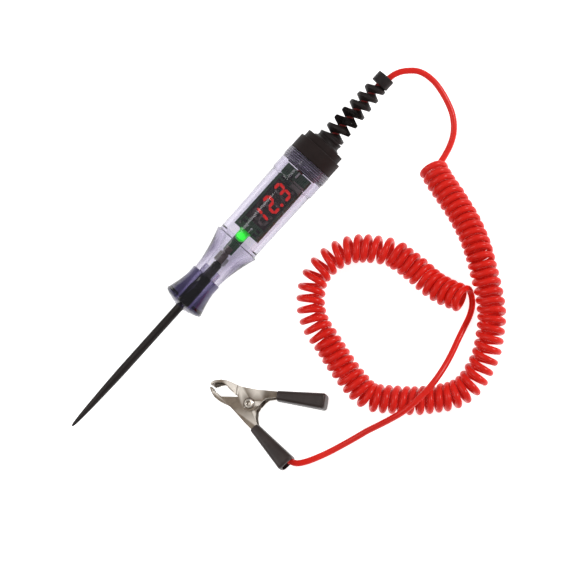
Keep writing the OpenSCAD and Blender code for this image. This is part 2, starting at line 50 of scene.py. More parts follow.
ALPHA = math.radians(14)      # the camera's tilt about the pen's axis, and the pen's own roll
ZC = 11.5                     # height of the pen's axis

# ------------------------------------------------------------------ camera

def add_camera():
    c = Vector((0, -math.sin(ALPHA), math.cos(ALPHA)))
    e = Vector((0, math.cos(ALPHA), math.sin(ALPHA)))
    x = Vector((1, 0, 0))
    right = math.cos(THETA) * x - math.sin(THETA) * e
    up = math.sin(THETA) * x + math.cos(THETA) * e
    data = bpy.data.cameras.new("camera")
    data.lens = 250
    data.sensor_width = 36
    data.clip_start = 0.05
    data.clip_end = 20
    cam = bpy.data.objects.new("camera", data)
    SCENE.collection.objects.link(cam)
    m = Matrix((right, up, c)).transposed().to_4x4()
    m.translation = Vector((5.5, -31.62, 11.5)) * MM + c * 1.794
    cam.matrix_world = m
    SCENE.camera = cam

add_camera()

# ------------------------------------------------------------------ helpers

def catmull(pts, per):
    """A smooth line through the points, `per` steps to a span (or a list of steps)."""
    p = [np.array(q, float) for q in pts]
    out = []
    for i in range(len(p) - 1):
        a = p[i - 1] if i else 2 * p[0] - p[1]
        b, c = p[i], p[i + 1]
        d = p[i + 2] if i + 2 < len(p) else 2 * p[-1] - p[-2]
        n = per if isinstance(per, int) else per[i]
        ta = 0.0
        tb = ta + max(1e-9, np.linalg.norm((b - a)[:3])) ** 0.5
        tc = tb + max(1e-9, np.linalg.norm((c - b)[:3])) ** 0.5
        td = tc + max(1e-9, np.linalg.norm((d - c)[:3])) ** 0.5
        for k in range(n):
            t = tb + (tc - tb) * k / n
            a1 = (tb - t) / (tb - ta) * a + (t - ta) / (tb - ta) * b
            a2 = (tc - t) / (tc - tb) * b + (t - tb) / (tc - tb) * c
            a3 = (td - t) / (td - tc) * c + (t - tc) / (td - tc) * d
            b1 = (tc - t) / (tc - ta) * a1 + (t - ta) / (tc - ta) * a2
            b2 = (td - t) / (td - tb) * a2 + (t - tb) / (td - tb) * a3
            out.append((tc - t) / (tc - tb) * b1 + (t - tb) / (tc - tb) * b2)
    out.append(p[-1])
    return np.array(out)


def new_object(name, verts, faces, body="tester", mat=None, smooth=True, sharp=35, clean=True):
    """A mesh object from vertices in millimetres, riding on a body."""
    me = bpy.data.meshes.new(name)
    me.from_pydata([tuple(float(c) * MM for c in v) for v in verts], [], faces)
    me.validate()
    if clean:
        bm = bmesh.new()
        bm.from_mesh(me)
        bmesh.ops.remove_doubles(bm, verts=bm.verts, dist=1e-7)
        bmesh.ops.recalc_face_normals(bm, faces=bm.faces)
        bm.to_mesh(me)
        bm.free()
    if smooth:
        me.shade_smooth()
        if sharp:
            me.set_sharp_from_angle(angle=math.radians(sharp))
    ob = bpy.data.objects.new(name, me)
    SCENE.collection.objects.link(ob)
    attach(ob, body)
    if mat:
        me.materials.append(mat)
    return ob


def filleted(pts, closed=False, seg=5):
    """Rounds the corners of a profile: each point is (s, r) or (s, r, fillet radius)."""
    out = []
    n = len(pts)
    for i in range(n):
        q = np.array(pts[i][:2], float)
        rad = pts[i][2] if len(pts[i]) > 2 else 0
        if not rad or (not closed and i in (0, n - 1)):
            out.append(tuple(q))
            continue
        a = np.array(pts[i - 1][:2], float) - q
        b = np.array(pts[(i + 1) % n][:2], float) - q
        la, lb = np.linalg.norm(a), np.linalg.norm(b)
        a, b = a / la, b / lb
        ang = math.acos(max(-1, min(1, float(a @ b))))
        if ang > math.pi - 0.02:
            out.append(tuple(q))
            continue
        cut = min(rad / math.tan(ang / 2), 0.48 * la, 0.48 * lb)
        rr = cut * math.tan(ang / 2)
        centre = q + (a + b) / np.linalg.norm(a + b) * rr / math.sin(ang / 2)
        p0, p1 = q + a * cut, q + b * cut
        v0, v1 = p0 - centre, p1 - centre
        sweep = math.acos(max(-1, min(1, float(v0 @ v1) / (rr * rr))))
        for k in range(seg + 1):
            f = k / seg
            v = (math.sin((1 - f) * sweep) * v0 + math.sin(f * sweep) * v1) / math.sin(sweep)
            out.append(tuple(centre + v))
    return out


def lathe(profile, n=160, closed=True, warp=None):
    """Vertices and faces of a turned shape about the pen's axis, from (s, r) points.
    warp(s, r, a) may change s and r at the angle a."""
    verts, rows = [], []
    for s, r in profile:
        if r < 1e-6:
            rows.append([len(verts)])
            verts.append((s - 106, 0, ZC))
            continue
        row = []
        for k in range(n):
            a = 2 * math.pi * k / n
            ss, rr = warp(s, r, a) if warp else (s, r)
            row.append(len(verts))
            verts.append((ss - 106, rr * math.cos(a), ZC + rr * math.sin(a)))
        rows.append(row)
    faces = []
    pairs = list(zip(rows, rows[1:])) + ([(rows[-1], rows[0])] if closed else [])
    for u, v in pairs:
        if len(u) == 1 and len(v) == 1:
            continue
        for k in range(n):
            k1 = (k + 1) % n
            if len(u) == 1:
                faces.append((u[0], v[k], v[k1]))
            elif len(v) == 1:
                faces.append((u[k], v[0], u[k1]))
            else:
                faces.append((u[k], v[k], v[k1], u[k1]))
    return verts, faces


def tube(path, r, n=16, caps=True):
    """A round tube along a path, with rings turned the least."""
    p = np.array(path, float)
    t = np.gradient(p, axis=0)
    t /= np.linalg.norm(t, axis=1)[:, None]
    ref = np.array([0, 0, 1.0]) if abs(t[0][2]) < 0.9 else np.array([1.0, 0, 0])
    u = np.cross(t[0], ref)
    u /= np.linalg.norm(u)
    verts, faces = [], []
    for i in range(len(p)):
        u = u - t[i] * (u @ t[i])
        u /= np.linalg.norm(u)
        w = np.cross(t[i], u)
        rr = r if np.isscalar(r) else r[i]
        for k in range(n):
            a = 2 * math.pi * k / n
            verts.append(p[i] + rr * (math.cos(a) * u + math.sin(a) * w))
    for i in range(len(p) - 1):
        for k in range(n):
            k1 = (k + 1) % n
            faces.append((i * n + k, i * n + k1, (i + 1) * n + k1, (i + 1) * n + k))
    if caps:
        faces.append(tuple(range(n - 1, -1, -1)))
        faces.append(tuple((len(p) - 1) * n + k for k in range(n)))
    return verts, faces


def rolled(p):
    """A point of the pen's own upright frame, turned by the pen's roll."""
    x, y, z = p
    z -= ZC
    return (x, y * math.cos(ALPHA) - z * math.sin(ALPHA), ZC + y * math.sin(ALPHA) + z * math.cos(ALPHA))

# ------------------------------------------------------------------ materials

class Mat:
    """Short names for the nodes of a procedural material."""

    def __init__(self, name):
        self.m = bpy.data.materials.new(name)
        self.m.use_nodes = True
        self.t = self.m.node_tree
        self.t.nodes.clear()
        self.out = self.t.nodes.new("ShaderNodeOutputMaterial")
        self.bsdf = self.t.nodes.new("ShaderNodeBsdfPrincipled")
        self.t.links.new(self.bsdf.outputs[0], self.out.inputs["Surface"])
        self.co = self.t.nodes.new("ShaderNodeTexCoord")

    def link(self, a, b):
        self.t.links.new(a, b)

    def set(self, **values):
        for k, v in values.items():
            s = self.bsdf.inputs[k.replace("_", " ")]
            s.default_value = (*v, 1) if hasattr(v, "__len__") and len(v) == 3 and s.type == "RGBA" else v
        return self

    def place(self, scale=(1, 1, 1), rot=(0, 0, 0), loc=(0, 0, 0)):
        n = self.t.nodes.new("ShaderNodeMapping")
        n.inputs["Scale"].default_value = scale
        n.inputs["Rotation"].default_value = rot
        n.inputs["Location"].default_value = loc
        self.link(self.co.outputs["Object"], n.inputs["Vector"])
        return n.outputs[0]

    def noise(self, scale, detail=3, rough=0.5, at=None, distort=0):
        n = self.t.nodes.new("ShaderNodeTexNoise")
        n.inputs["Scale"].default_value = scale
        n.inputs["Detail"].default_value = detail
        n.inputs["Roughness"].default_value = rough
        n.inputs["Distortion"].default_value = distort
        self.link(at if at else self.co.outputs["Object"], n.inputs["Vector"])
        return n.outputs["Fac"]

    def voronoi(self, scale, at=None, feature="F1"):
        n = self.t.nodes.new("ShaderNodeTexVoronoi")
        n.feature = feature
        n.inputs["Scale"].default_value = scale
        self.link(at if at else self.co.outputs["Object"], n.inputs["Vector"])
        return n.outputs["Distance"]

    def wave(self, scale, at=None, distort=0, profile="SIN", direction="X", detail=2):
        n = self.t.nodes.new("ShaderNodeTexWave")
        n.wave_profile = profile
        n.bands_direction = direction
        n.inputs["Scale"].default_value = scale
        n.inputs["Distortion"].default_value = distort
        n.inputs["Detail"].default_value = detail
        self.link(at if at else self.co.outputs["Object"], n.inputs["Vector"])
        return n.outputs["Fac"]

    def ramp(self, fac, *stops):
        n = self.t.nodes.new("ShaderNodeValToRGB")
        el = n.color_ramp.elements
        while len(el) < len(stops):
            el.new(0.5)
        for e, (pos, col) in zip(el, stops):
            e.position = pos
            e.color = (*col, 1) if hasattr(col, "__len__") else (col, col, col, 1)
        self.link(fac, n.inputs["Fac"])
        return n.outputs["Color"]

    def range(self, fac, lo, hi, flo=0.3, fhi=0.7):
        n = self.t.nodes.new("ShaderNodeMapRange")
        for k, v in ((1, flo), (2, fhi), (3, lo), (4, hi)):
            n.inputs[k].default_value = v
        self.link(fac, n.inputs[0])
        return n.outputs[0]

    def mix(self, fac, a, b, mode="MIX"):
        n = self.t.nodes.new("ShaderNodeMix")
        n.data_type = "RGBA"
        n.blend_type = mode
        for sock, v in ((n.inputs[0], fac), (n.inputs[6], a), (n.inputs[7], b)):
            if isinstance(v, bpy.types.NodeSocket):
                self.link(v, sock)
            elif hasattr(v, "__len__"):
                sock.default_value = (*v, 1)
            else:
                sock.default_value = v
        return n.outputs[2]

    def math(self, op, a, b=None, clamp=False):
        n = self.t.nodes.new("ShaderNodeMath")
        n.operation = op
        n.use_clamp = clamp
        for sock, v in ((n.inputs[0], a), (n.inputs[1], b)):
            if isinstance(v, bpy.types.NodeSocket):
                self.link(v, sock)
            elif v is not None:
                sock.default_value = v
        return n.outputs[0]

    def pointy(self):
        n = self.t.nodes.new("ShaderNodeNewGeometry")
        return n.outputs["Pointiness"]

    def ao(self, distance):
        n = self.t.nodes.new("ShaderNodeAmbientOcclusion")
        n.inputs["Distance"].default_value = distance
        n.samples = 8
        return n.outputs["AO"]

    def color(self, c):
        self.link(c, self.bsdf.inputs["Base Color"])
        return self

    def rough(self, r):
        self.link(r, self.bsdf.inputs["Roughness"])
        return self

    def bump(self, height, strength=0.3, distance=0.0002):
        n = self.t.nodes.new("ShaderNodeBump")
        n.inputs["Strength"].default_value = strength
        n.inputs["Distance"].default_value = distance
        self.link(height, n.inputs["Height"])
        self.link(n.outputs[0], self.bsdf.inputs["Normal"])
        return self

    def absorb(self, colour, density):
        n = self.t.nodes.new("ShaderNodeVolumeAbsorption")
        n.inputs["Color"].default_value = (*colour, 1)
        n.inputs["Density"].default_value = density
        self.link(n.outputs[0], self.out.inputs["Volume"])
        return self


def rgb(r, g, b):
    """A colour as the photo's eye sees it (0-255), made linear."""
    def f(v):
        v /= 255
        return v / 12.92 if v <= 0.04045 else ((v + 0.055) / 1.055) ** 2.4
    return (f(r), f(g), f(b))


def plastic(name, dark, light, rough=(0.3, 0.42), scale=350, bump=0.15, fine=2600, **values):
    m = Mat(name)
    m.color(m.ramp(m.noise(scale, 4, 0.6), (0.3, dark), (0.7, light)))
    m.rough(m.range(m.noise(scale * 2.3, 5, 0.65), *rough))
    m.bump(m.noise(fine, 3, 0.6), bump, 0.00008)
    m.set(**values)
    return m


def metal(name, dark, light, rough=(0.25, 0.4), scale=260, stretch=(1, 1, 1), bump=0.2, edge=None, **values):
    m = Mat(name)
    base = m.ramp(m.noise(scale, 5, 0.65), (0.3, dark), (0.7, light))
    # painted highlight: the edge colour lightens sharp convex edges, found by pointiness
    if edge:
        base = m.mix(m.range(m.pointy(), 0, 1, 0.52, 0.60), base, edge)
    m.color(base)
    m.rough(m.range(m.noise(scale * 3, 5, 0.7, m.place(stretch)), *rough))
    m.bump(m.noise(scale * 7, 4, 0.6, m.place(stretch)), bump, 0.00006)
    m.set(Metallic=1.0, **values)
    return m


M = {}
# the cord's faint red emission is a painted glow: it lifts the shade between the coil's turns
M["cord"] = plastic("cord_red", rgb(192, 22, 12), rgb(206, 29, 18), (0.24, 0.32), 90, 0.06, 1500, Specular_IOR_Level=0.19,
                    Emission_Color=rgb(230, 36, 22), Emission_Strength=0.14)
# painted shade: a darker copy of the cord's red for the lead inside the boot's ribs
M["cord_painted_shade"] = plastic("cord_red_painted_shade", rgb(104, 14, 10), rgb(122, 20, 16), (0.35, 0.45), 90, 0.06, 1500, Specular_IOR_Level=0.2)
M["black"] = plastic("black_moulding", rgb(34, 26, 25), rgb(40, 31, 30), (0.5, 0.62), 200, 0.2, Specular_IOR_Level=0.12)
M["rubber"] = plastic("black_boot", rgb(24, 18, 18), rgb(34, 27, 26), (0.42, 0.55), 300, 0.25, Specular_IOR_Level=0.2)
M["sleeve"] = plastic("black_sleeve", rgb(18, 15, 15), rgb(27, 23, 23), (0.35, 0.5), 300, 0.2, Specular_IOR_Level=0.35)
M["vinyl"] = plastic("black_vinyl", rgb(43, 33, 31), rgb(55, 44, 41), (0.36, 0.46), 160, 0.3, 1800, Specular_IOR_Level=0.32)
M["case"] = plastic("display_case", rgb(40, 26, 26), rgb(54, 36, 35), (0.35, 0.5), 500, 0.1, Specular_IOR_Level=0.35)
M["unlit"] = plastic("segment_dark", rgb(84, 70, 68), rgb(100, 86, 84), (0.3, 0.4), 900, 0.1)
M["chip"] = plastic("chip_epoxy", rgb(30, 30, 32), rgb(44, 44, 46), (0.5, 0.65), 900, 0.4, 5000)
M["capacitor"] = plastic("capacitor", rgb(132, 122, 116), rgb(158, 148, 140), (0.35, 0.5), 500, 0.2)

# needle: blackened steel, drawn along its length
m = Mat("blackened_steel")
streak = m.place((0.02, 1, 1))
m.color(m.mix(m.range(m.noise(2200, 5, 0.7, streak), 0, 1), rgb(24, 19, 18), rgb(48, 42, 40)))
m.rough(m.range(m.noise(1500, 4, 0.6, streak), 0.34, 0.5))
m.bump(m.noise(3500, 4, 0.6, streak), 0.25, 0.00005)
m.set(Metallic=0.6)
M["needle"] = m

M["tin"] = metal("tinned_metal", rgb(196, 194, 190), rgb(224, 222, 218), (0.22, 0.38), 900, bump=0.2)
M["tab"] = plastic("bright_tab", rgb(226, 226, 222), rgb(244, 244, 240), (0.35, 0.5), 500, 0.2, Metallic=0.35)
M["terminal"] = metal("terminal_metal", rgb(112, 100, 92), rgb(156, 144, 136), (0.3, 0.5), 600, bump=0.3)
M["solder"] = metal("solder", rgb(104, 108, 100), rgb(132, 136, 126), (0.4, 0.55), 900, bump=0.2)
M["wire"] = metal("spring_wire", rgb(150, 140, 130), rgb(190, 180, 170), (0.25, 0.4), 900, bump=0.2)
# plated steel with a painted highlight along the levers' edges and bends
m = metal("plated_steel", rgb(110, 98, 86), rgb(142, 129, 115), (0.4, 0.54), 240, bump=0.3,
          edge=rgb(222, 214, 204))
n = m.t.nodes.new("ShaderNodeVectorMath")   # painted shade: a dark, blotchy ring on the plate in the crease around the rivet's head
n.operation = "LENGTH"
m.link(m.place((1, 1, 0), (0, 0, 0), (44.5 * MM, 53.4 * MM, 0)), n.inputs[0])
ring = m.range(n.outputs["Value"], 1.0, 0.0, 2.3 * MM, 2.9 * MM)
# the painted shade darkens the plate's colour inside that ring
m.color(m.mix(m.math("MULTIPLY", ring, m.range(m.noise(1500, 3), 0.5, 0.85)), m.bsdf.inputs["Base Color"].links[0].from_socket,
              rgb(52, 43, 36)))
M["plate"] = m
M["rivet"] = metal("rivet_steel", rgb(190, 180, 168), rgb(220, 212, 202), (0.2, 0.34), 500, bump=0.2)

# circuit board: solder mask over traces
m = Mat("board_green")
at = m.place((1, 1, 1), (math.radians(-14), 0, 0))
run = m.wave(330, at, 1.6, direction="Y", detail=1)
hatch = m.math("GREATER_THAN", run, 0.62)
weave = m.wave(1500, at, 0.3, direction="X")
base = m.mix(m.range(m.noise(300, 4), 0, 1), rgb(42, 78, 54), rgb(54, 92, 66))
base = m.mix(m.math("MULTIPLY", hatch, 0.55), base, rgb(88, 128, 92))
m.color(base)
m.rough(m.range(m.noise(600, 4), 0.25, 0.4))
m.bump(m.mix(0.5, hatch, weave), 0.25, 0.00006)
m.set(Coat_Weight=0.3, Coat_Roughness=0.12)
M["board"] = m

# lit segments
m = plastic("segment_lit", rgb(80, 4, 5), rgb(96, 7, 7), (0.3, 0.4), 900, 0.1)
m.link(m.ramp(m.noise(700, 3), (0.3, rgb(222, 8, 6)), (0.7, rgb(236, 14, 10))), m.bsdf.inputs["Emission Color"])
m.set(Emission_Strength=0.85)
M["lit"] = m

# lamp: bright around its lit middle, deeper towards its rim
LAMP = (114.5, 0.6, 1.05)   # along the pen, across it and above its axis
m = Mat("lamp_green")
x, y, z = rolled((LAMP[0] - 106, LAMP[1], ZC + LAMP[2] + 1.4))
at = m.place((1, 1, 1), (0, 0, 0), (-x * MM, -y * MM, -z * MM))
n = m.t.nodes.new("ShaderNodeVectorMath")
n.operation = "LENGTH"
m.link(at, n.inputs[0])
d = m.math("ADD", n.outputs["Value"], m.math("MULTIPLY", m.noise(900, 2), 0.0002))
m.color(m.ramp(m.noise(500, 3), (0.3, rgb(8, 112, 16)), (0.7, rgb(14, 134, 24))))
m.rough(m.range(m.noise(400, 2), 0.1, 0.18))
m.link(m.ramp(m.range(d, 0, 1, 0.0004, 0.0034), (0.0, (0.04, 1.0, 0.06)), (0.3, (0.014, 0.58, 0.024)), (0.6, (0.004, 0.25, 0.009)),
              (1.0, (0.001, 0.1, 0.003))), m.bsdf.inputs["Emission Color"])
m.set(Emission_Strength=3.2, IOR=1.5)
M["lamp"] = m

# clear mouldings
def clear(name, tint, density, haze=(0.012, 0.03), bump=0.012):
    m = Mat(name)
    m.color(m.ramp(m.noise(60, 2), (0.35, (0.965, 0.96, 0.985)), (0.65, (0.985, 0.98, 0.995))))
    m.rough(m.range(m.noise(220, 3), *haze))
    m.bump(m.noise(60, 1, 0.3), bump, 0.0002)
    m.set(Transmission_Weight=1.0, IOR=1.47)
    m.absorb(tint, density)
    return m

M["barrel"] = clear("clear_barrel", (0.54, 0.50, 0.62), 230, bump=0.004)
M["bell"] = clear("clear_bell", (0.44, 0.40, 0.57), 370)

# the screw thread in the barrel's mouth: frosted, with a painted highlight along each turn's crest and painted shade in
# the grooves
m = Mat("clear_thread")
n = m.t.nodes.new("ShaderNodeSeparateXYZ")
m.link(m.place((1, 1, 1), (0, 0, 0), (0, 0, -ZC * MM)), n.inputs[0])
turn = m.math("DIVIDE", m.math("ARCTAN2", n.outputs[2], n.outputs[1]), 2 * math.pi)
f = m.math("FRACT", m.math("SUBTRACT", m.math("DIVIDE", m.math("ADD", n.outputs[0], 106 * MM), 0.95 * MM), turn))
# painted highlight on the crests (light stops), painted shade in the grooves (dark stops)
m.color(m.ramp(m.math("ADD", f, m.range(m.noise(500, 3), -0.06, 0.06)), (0.15, rgb(104, 94, 110)), (0.42, rgb(196, 190, 206)),
               (0.58, rgb(196, 190, 206)), (0.85, rgb(104, 94, 110))))
m.rough(m.range(m.noise(500, 3), 0.25, 0.35))
m.set(Transmission_Weight=0.25, IOR=1.47)
M["thread"] = m

# ------------------------------------------------------------------ the cord

ROUTE_IN = [
    (102, 0, 11.5), (104, -0.5, 11.5), (106, -1.3, 11.4), (108.6, -1.8, 11.2), (111.5, -3, 10.8),
    (114.6, -5.4, 10.1), (117.2, -8.5, 9.2), (118.5, -12.4, 8), (118.6, -17.4, 6.6),
    (117.5, -22.4, 5.2), (115.7, -27.4, 3.9), (113.4, -31.9, 2.9), (110.2, -35.8, 2.2),
    (106.3, -38.8, 1.7), (101.9, -40.8, 1.5), (97, -42.1, 1.5), (92.2, -42.9, 1.5)
]
# the coil's middle line
COIL = [
    (89.1, -42.5), (88.2, -45.3), (86.8, -49.6), (84.4, -59.2), (81.3, -69.7), (78.1, -77.6), (74.2, -84.9),
    (70.6, -90.4), (66.6, -96.5), (62.5, -102.2), (56.8, -108.6), (49.5, -114.0), (42.5, -118.1), (34.5, -120.7),
    (26.6, -121.6), (19.5, -119.6), (13.7, -115.3), (6.2, -108.5), (1.7, -102.8), (-2.6, -97.3), (-6.0, -91.8),
    (-6.0, -83.3), (-3.7, -71.3), (-1.0, -61.3), (1.6, -51.5), (5.5, -44.8), (10.7, -40.0), (16.3, -36.8),
    (23.4, -35.8), (32.2, -37.4), (38.9, -41.5), (44.1, -47.7), (48.9, -56.3), (49.3, -60.4), (49.8, -64.8),
    (50.0, -69.2), (50.1, -79.4), (51.7, -86.7), (52.7, -89.5), (53.9, -93.0), (54.8, -95.3)
]
# turns wound, and how far along that line (mm) the coil has got by then
TURNS = [
    (0, 0), (1.5, 5.2), (4, 13.9), (7, 24.4), (10, 35.1), (13, 45.9), (16, 56.6), (18, 65.7), (20, 73.7), (22, 82.1),
    (24, 90.8), (26, 99.6), (28, 108.8), (31, 120.2), (33.5, 130.4), (36, 140.5), (39, 152.5), (42, 164.4),
    (45, 176.3), (48, 186.9), (51, 199.5), (54, 213.6), (57, 229.4), (59.5, 241.2), (61.5, 248.7), (63, 257),
    (64.5, 262.9), (66, 268.4), (68, 276.3), (71, 287.1), (73.875, 297.2)
]
# how far (mm) the upper side of the turns leans back along the line, from place to place
LEAN = [
    (0, 2.25), (43.5, 2.25), (52.5, 0.35), (72, 0.3), (80, 0), (90, -0.55), (98, -0.65), (106, -0.6), (112, -0.35),
    (163, -0.35), (170, -0.2), (184, -0.2), (190, -0.75), (200, -0.75), (210, -0.5), (224, -0.4), (232, -0.1),
    (238, 0.2), (247, 0.3), (252, 0.1), (268, 0.25), (272, 0.4), (280, 2.25), (298, 2.25)
]
# how far (mm) the turns are swept into an S at their sides
CROSS = [
    (0, 0.05), (40, 0.1), (48, 0.4), (70, 0.4), (80, 0.15), (88, 0), (104, 0), (112, 0.2), (165, 0.15), (172, 0.25),
    (183, 0.2), (190, 0), (232, 0), (240, 0.1), (256, 0.1), (262, 0.4), (276, 0.3), (298, 0.05)
]
ROUTE_OUT = [
    (56, -95, 1.6), (54.4, -97.7, 1.5), (50.5, -99.9, 1.7), (45.3, -101.7, 2.8),
    (39.5, -103.8, 4.8), (33.5, -106.2, 7.4), (27.5, -108.3, 10.2), (21.6, -109.8, 12.6),
    (15.6, -110.7, 14.4), (9.6, -110.8, 15.2), (3.7, -110.2, 15), (-1.9, -108.8, 13.6),
    (-7.3, -106.5, 10.9), (-12.7, -103.8, 7.8), (-18.2, -101, 5), (-24.2, -98.6, 3),
    (-30.5, -96.2, 1.9), (-36.7, -93.9, 2), (-42.3, -91.6, 3), (-47, -89.3, 4.2),
    (-50.2, -86.8, 5), (-51.4, -83.9, 5.2), (-51.65, -80.6, 5.2), (-51.65, -77.9, 5.2)
]
CORD_R = 1.45
COIL_R = 5.15    # from the coil's middle line to the cord's


def smooth(v, width):
    k = np.ones(width) / width
    pad = np.r_[2 * v[0] - v[width:0:-1], v, 2 * v[-1] - v[-2:-width - 2:-1]]
    return np.convolve(pad, k, "same")[width:-width]


def coil_points(per_turn=26):
    mid = catmull([(x, y, 0.0) for x, y in COIL], 40)
    at = np.r_[0, np.cumsum(np.linalg.norm(np.diff(mid, axis=0), axis=1))]
    total = TURNS[-1][0]
    n = np.linspace(0, total, int(total * per_turn) + 1)
    s = smooth(np.interp(n, *zip(*TURNS)), 2 * per_turn)
    s = np.clip(s, 0, at[-1])
    lean = smooth(np.interp(s, *zip(*LEAN)), per_turn // 2)
    cross = smooth(np.interp(s, *zip(*CROSS)), 2 * per_turn)
    x, y = (smooth(np.interp(s, at, mid[:, k]), per_turn // 2) for k in (0, 1))
    ux, uy = np.gradient(x), np.gradient(y)
    h = np.hypot(ux, uy)
    ux, uy = ux / h, uy / h
    a = np.radians(-90 + 360 * n)
    r = COIL_R + 0.03 * np.sin(1.7 * n) + 0.02 * np.sin(0.63 * n + 1)
    along = cross * np.sin(2 * a) - lean * np.sin(a) + 0.05 * np.sin(1.3 * n)
    px = x + r * np.cos(a) * uy + along * ux
    py = y - r * np.cos(a) * ux + along * uy - math.tan(ALPHA) * r * np.sin(a)
    return np.stack([px, py, 6.65 + r * np.sin(a)], axis=1)


def cord_line():
    coil = coil_points()
    lead = catmull(ROUTE_IN + [tuple(coil[0])], 5)[:-1]
    tail = catmull([tuple(coil[-6]), tuple(coil[-1]), (56.4, -96.1, 1.6), (54, -98.1, 1.5)] + ROUTE_OUT[2:], 6)
    tail = tail[7:]
    pts = np.vstack([lead, coil, tail])
    pts[:, 2] = np.maximum(pts[:, 2], CORD_R + 0.02)
    return pts


def curve_object(name, pts, r, resolution, mat, body="tester"):
    cu = bpy.data.curves.new(name, "CURVE")
    cu.dimensions = "3D"
    cu.twist_mode = "MINIMUM"
    cu.bevel_depth = r * MM
    cu.bevel_resolution = resolution
    cu.use_fill_caps = True
    sp = cu.splines.new("POLY")
    sp.points.add(len(pts) - 1)
    co = np.ones((len(pts), 4))
    co[:, :3] = np.array(pts) * MM
    sp.points.foreach_set("co", co.ravel())
    sp.use_smooth = True
    cu.materials.append(mat)
    ob = bpy.data.objects.new(name, cu)
    SCENE.collection.objects.link(ob)
    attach(ob, body)
    return ob


line = cord_line()
cord = curve_object("red_cord", line, CORD_R, 5, M["cord"].m)
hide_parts("cord_lead_in", "curly_cord", "cord_lead_out")

# ------------------------------------------------------------------ clear parts of the pen

def handle():
    wall = [(91.0 + 19.9 * k / 36, 7.0 + 4.3 * (k / 36) ** 1.6) for k in range(37)]
    outer = wall + [(111.15, 11.3, 0.12), (111.5, 10.5, 0.25), (112.4, 10.38), (147.2, 10.76), (147.9, 10.9, 0.3),
                    (148.1, 11.2, 0.2), (155.45, 11.25, 0.2), (155.55, 11.0, 0.05), (155.75, 11.5, 0.2),
                    (160.4, 11.5, 0.35)]
    thread = [(160.4 - 0.1 * k, 8.4) for k in range(1, 60)]
    inner = [(113.4, 8.4, 1.2), (112.2, 8.1, 0.8), (110.6, 7.5), (108.8, 6.7), (107.0, 5.9), (105.4, 5.2),
             (104.3, 4.8), (103.2, 4.6)]
    prof = [(90.95, 4.6, 0.1), (90.95, 6.9, 0.15)] + outer + [(160.4, 8.45, 0.1)] + thread + inner
    prof = filleted(prof, closed=True, seg=4)

    def warp(s, r, a):
        if 154.6 < s < 160.3 and 8.3 < r < 8.5:
            f = ((s / 0.95 - a / (2 * math.pi)) % 1.0)
            return s, r + 0.2 + 0.17 * math.cos(2 * math.pi * f)
        return s, r
    v, f = lathe(prof, 144, True, warp)
    o = new_object("clear_barrel", v, f, mat=M["barrel"].m, sharp=55)
    o.data.materials.append(M["thread"].m)
    for q in o.data.polygons:
        s, r = q.center.x / MM + 106, math.hypot(q.center.y, q.center.z - ZC * MM) / MM
        if 154.4 < s < 160.3 and 8.3 < r < 8.9:
            q.material_index = 1
    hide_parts("handle_body")


def bell():
    prof = [(72.8, 3.1, 0.05), (72.9, 3.9), (73.25, 5.4), (73.65, 6.7), (74.05, 8.0), (74.45, 8.95), (74.9, 9.6),
            (75.35, 9.93), (75.8, 10.05)]
    prof += [(s, 7.5 + 2.55 * ((87 - s) / 11.3) ** 1.4) for s in np.arange(76.3, 86.9, 0.55)]
    prof += [(87.4, 7.5), (89.2, 7.5), (90.3, 7.6, 0.3), (90.9, 7.5, 0.1), (90.9, 4.55, 0.1), (95.2, 4.55, 0.2),
             (95.5, 4.3, 0.1), (95.5, 3.1, 0.05)]
    prof = filleted(prof, closed=True, seg=4)
    v, f = lathe(prof, 144)
    o = new_object("clear_bell", v, f, mat=M["bell"].m, sharp=40)
    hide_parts("nose_bell")


def needle():
    prof = [(0.0, 0.0), (0.02, 0.08), (0.1, 0.16), (0.4, 0.27)]
    prof += [(s, 2.0 * (s / 33.0) ** 0.35) for s in list(np.arange(0.8, 6, 0.4)) + list(np.arange(6, 33, 1.0))]
    prof += [(33, 2.0)] + [(float(s), 2.0) for s in range(36, 72, 4)] + [(72.2, 2.0), (72.3, 2.02), (72.45, 2.2)] + [(float(s), 2.2) for s in range(76, 98, 4)] + [(98.9, 2.2, 0.1), (99.2, 1.7, 0.1), (102.6, 1.7, 0.2), (102.9, 1.4, 0.1), (102.9, 0)]
    v, f = lathe(filleted(prof), 64, False)
    o = new_object("needle", v, f, mat=M["needle"].m, sharp=50)
    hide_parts("probe_needle")


def cap():
    prof = [(154.0, 6.2, 0.1), (154.0, 7.9, 0.4), (160.5, 7.9), (160.5, 11.2, 0.3), (167.6, 11.2, 0.3),
            (167.6, 9.85, 0.1), (171.0, 9.85, 0.35), (171.0, 3.65, 0.1), (168.0, 3.65), (168.0, 6.2)]
    v, f = lathe(filleted(prof, closed=True, seg=6), 144)
    o = new_object("rear_cap", v, f, mat=M["black"].m, sharp=40)
    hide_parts("end_cap")


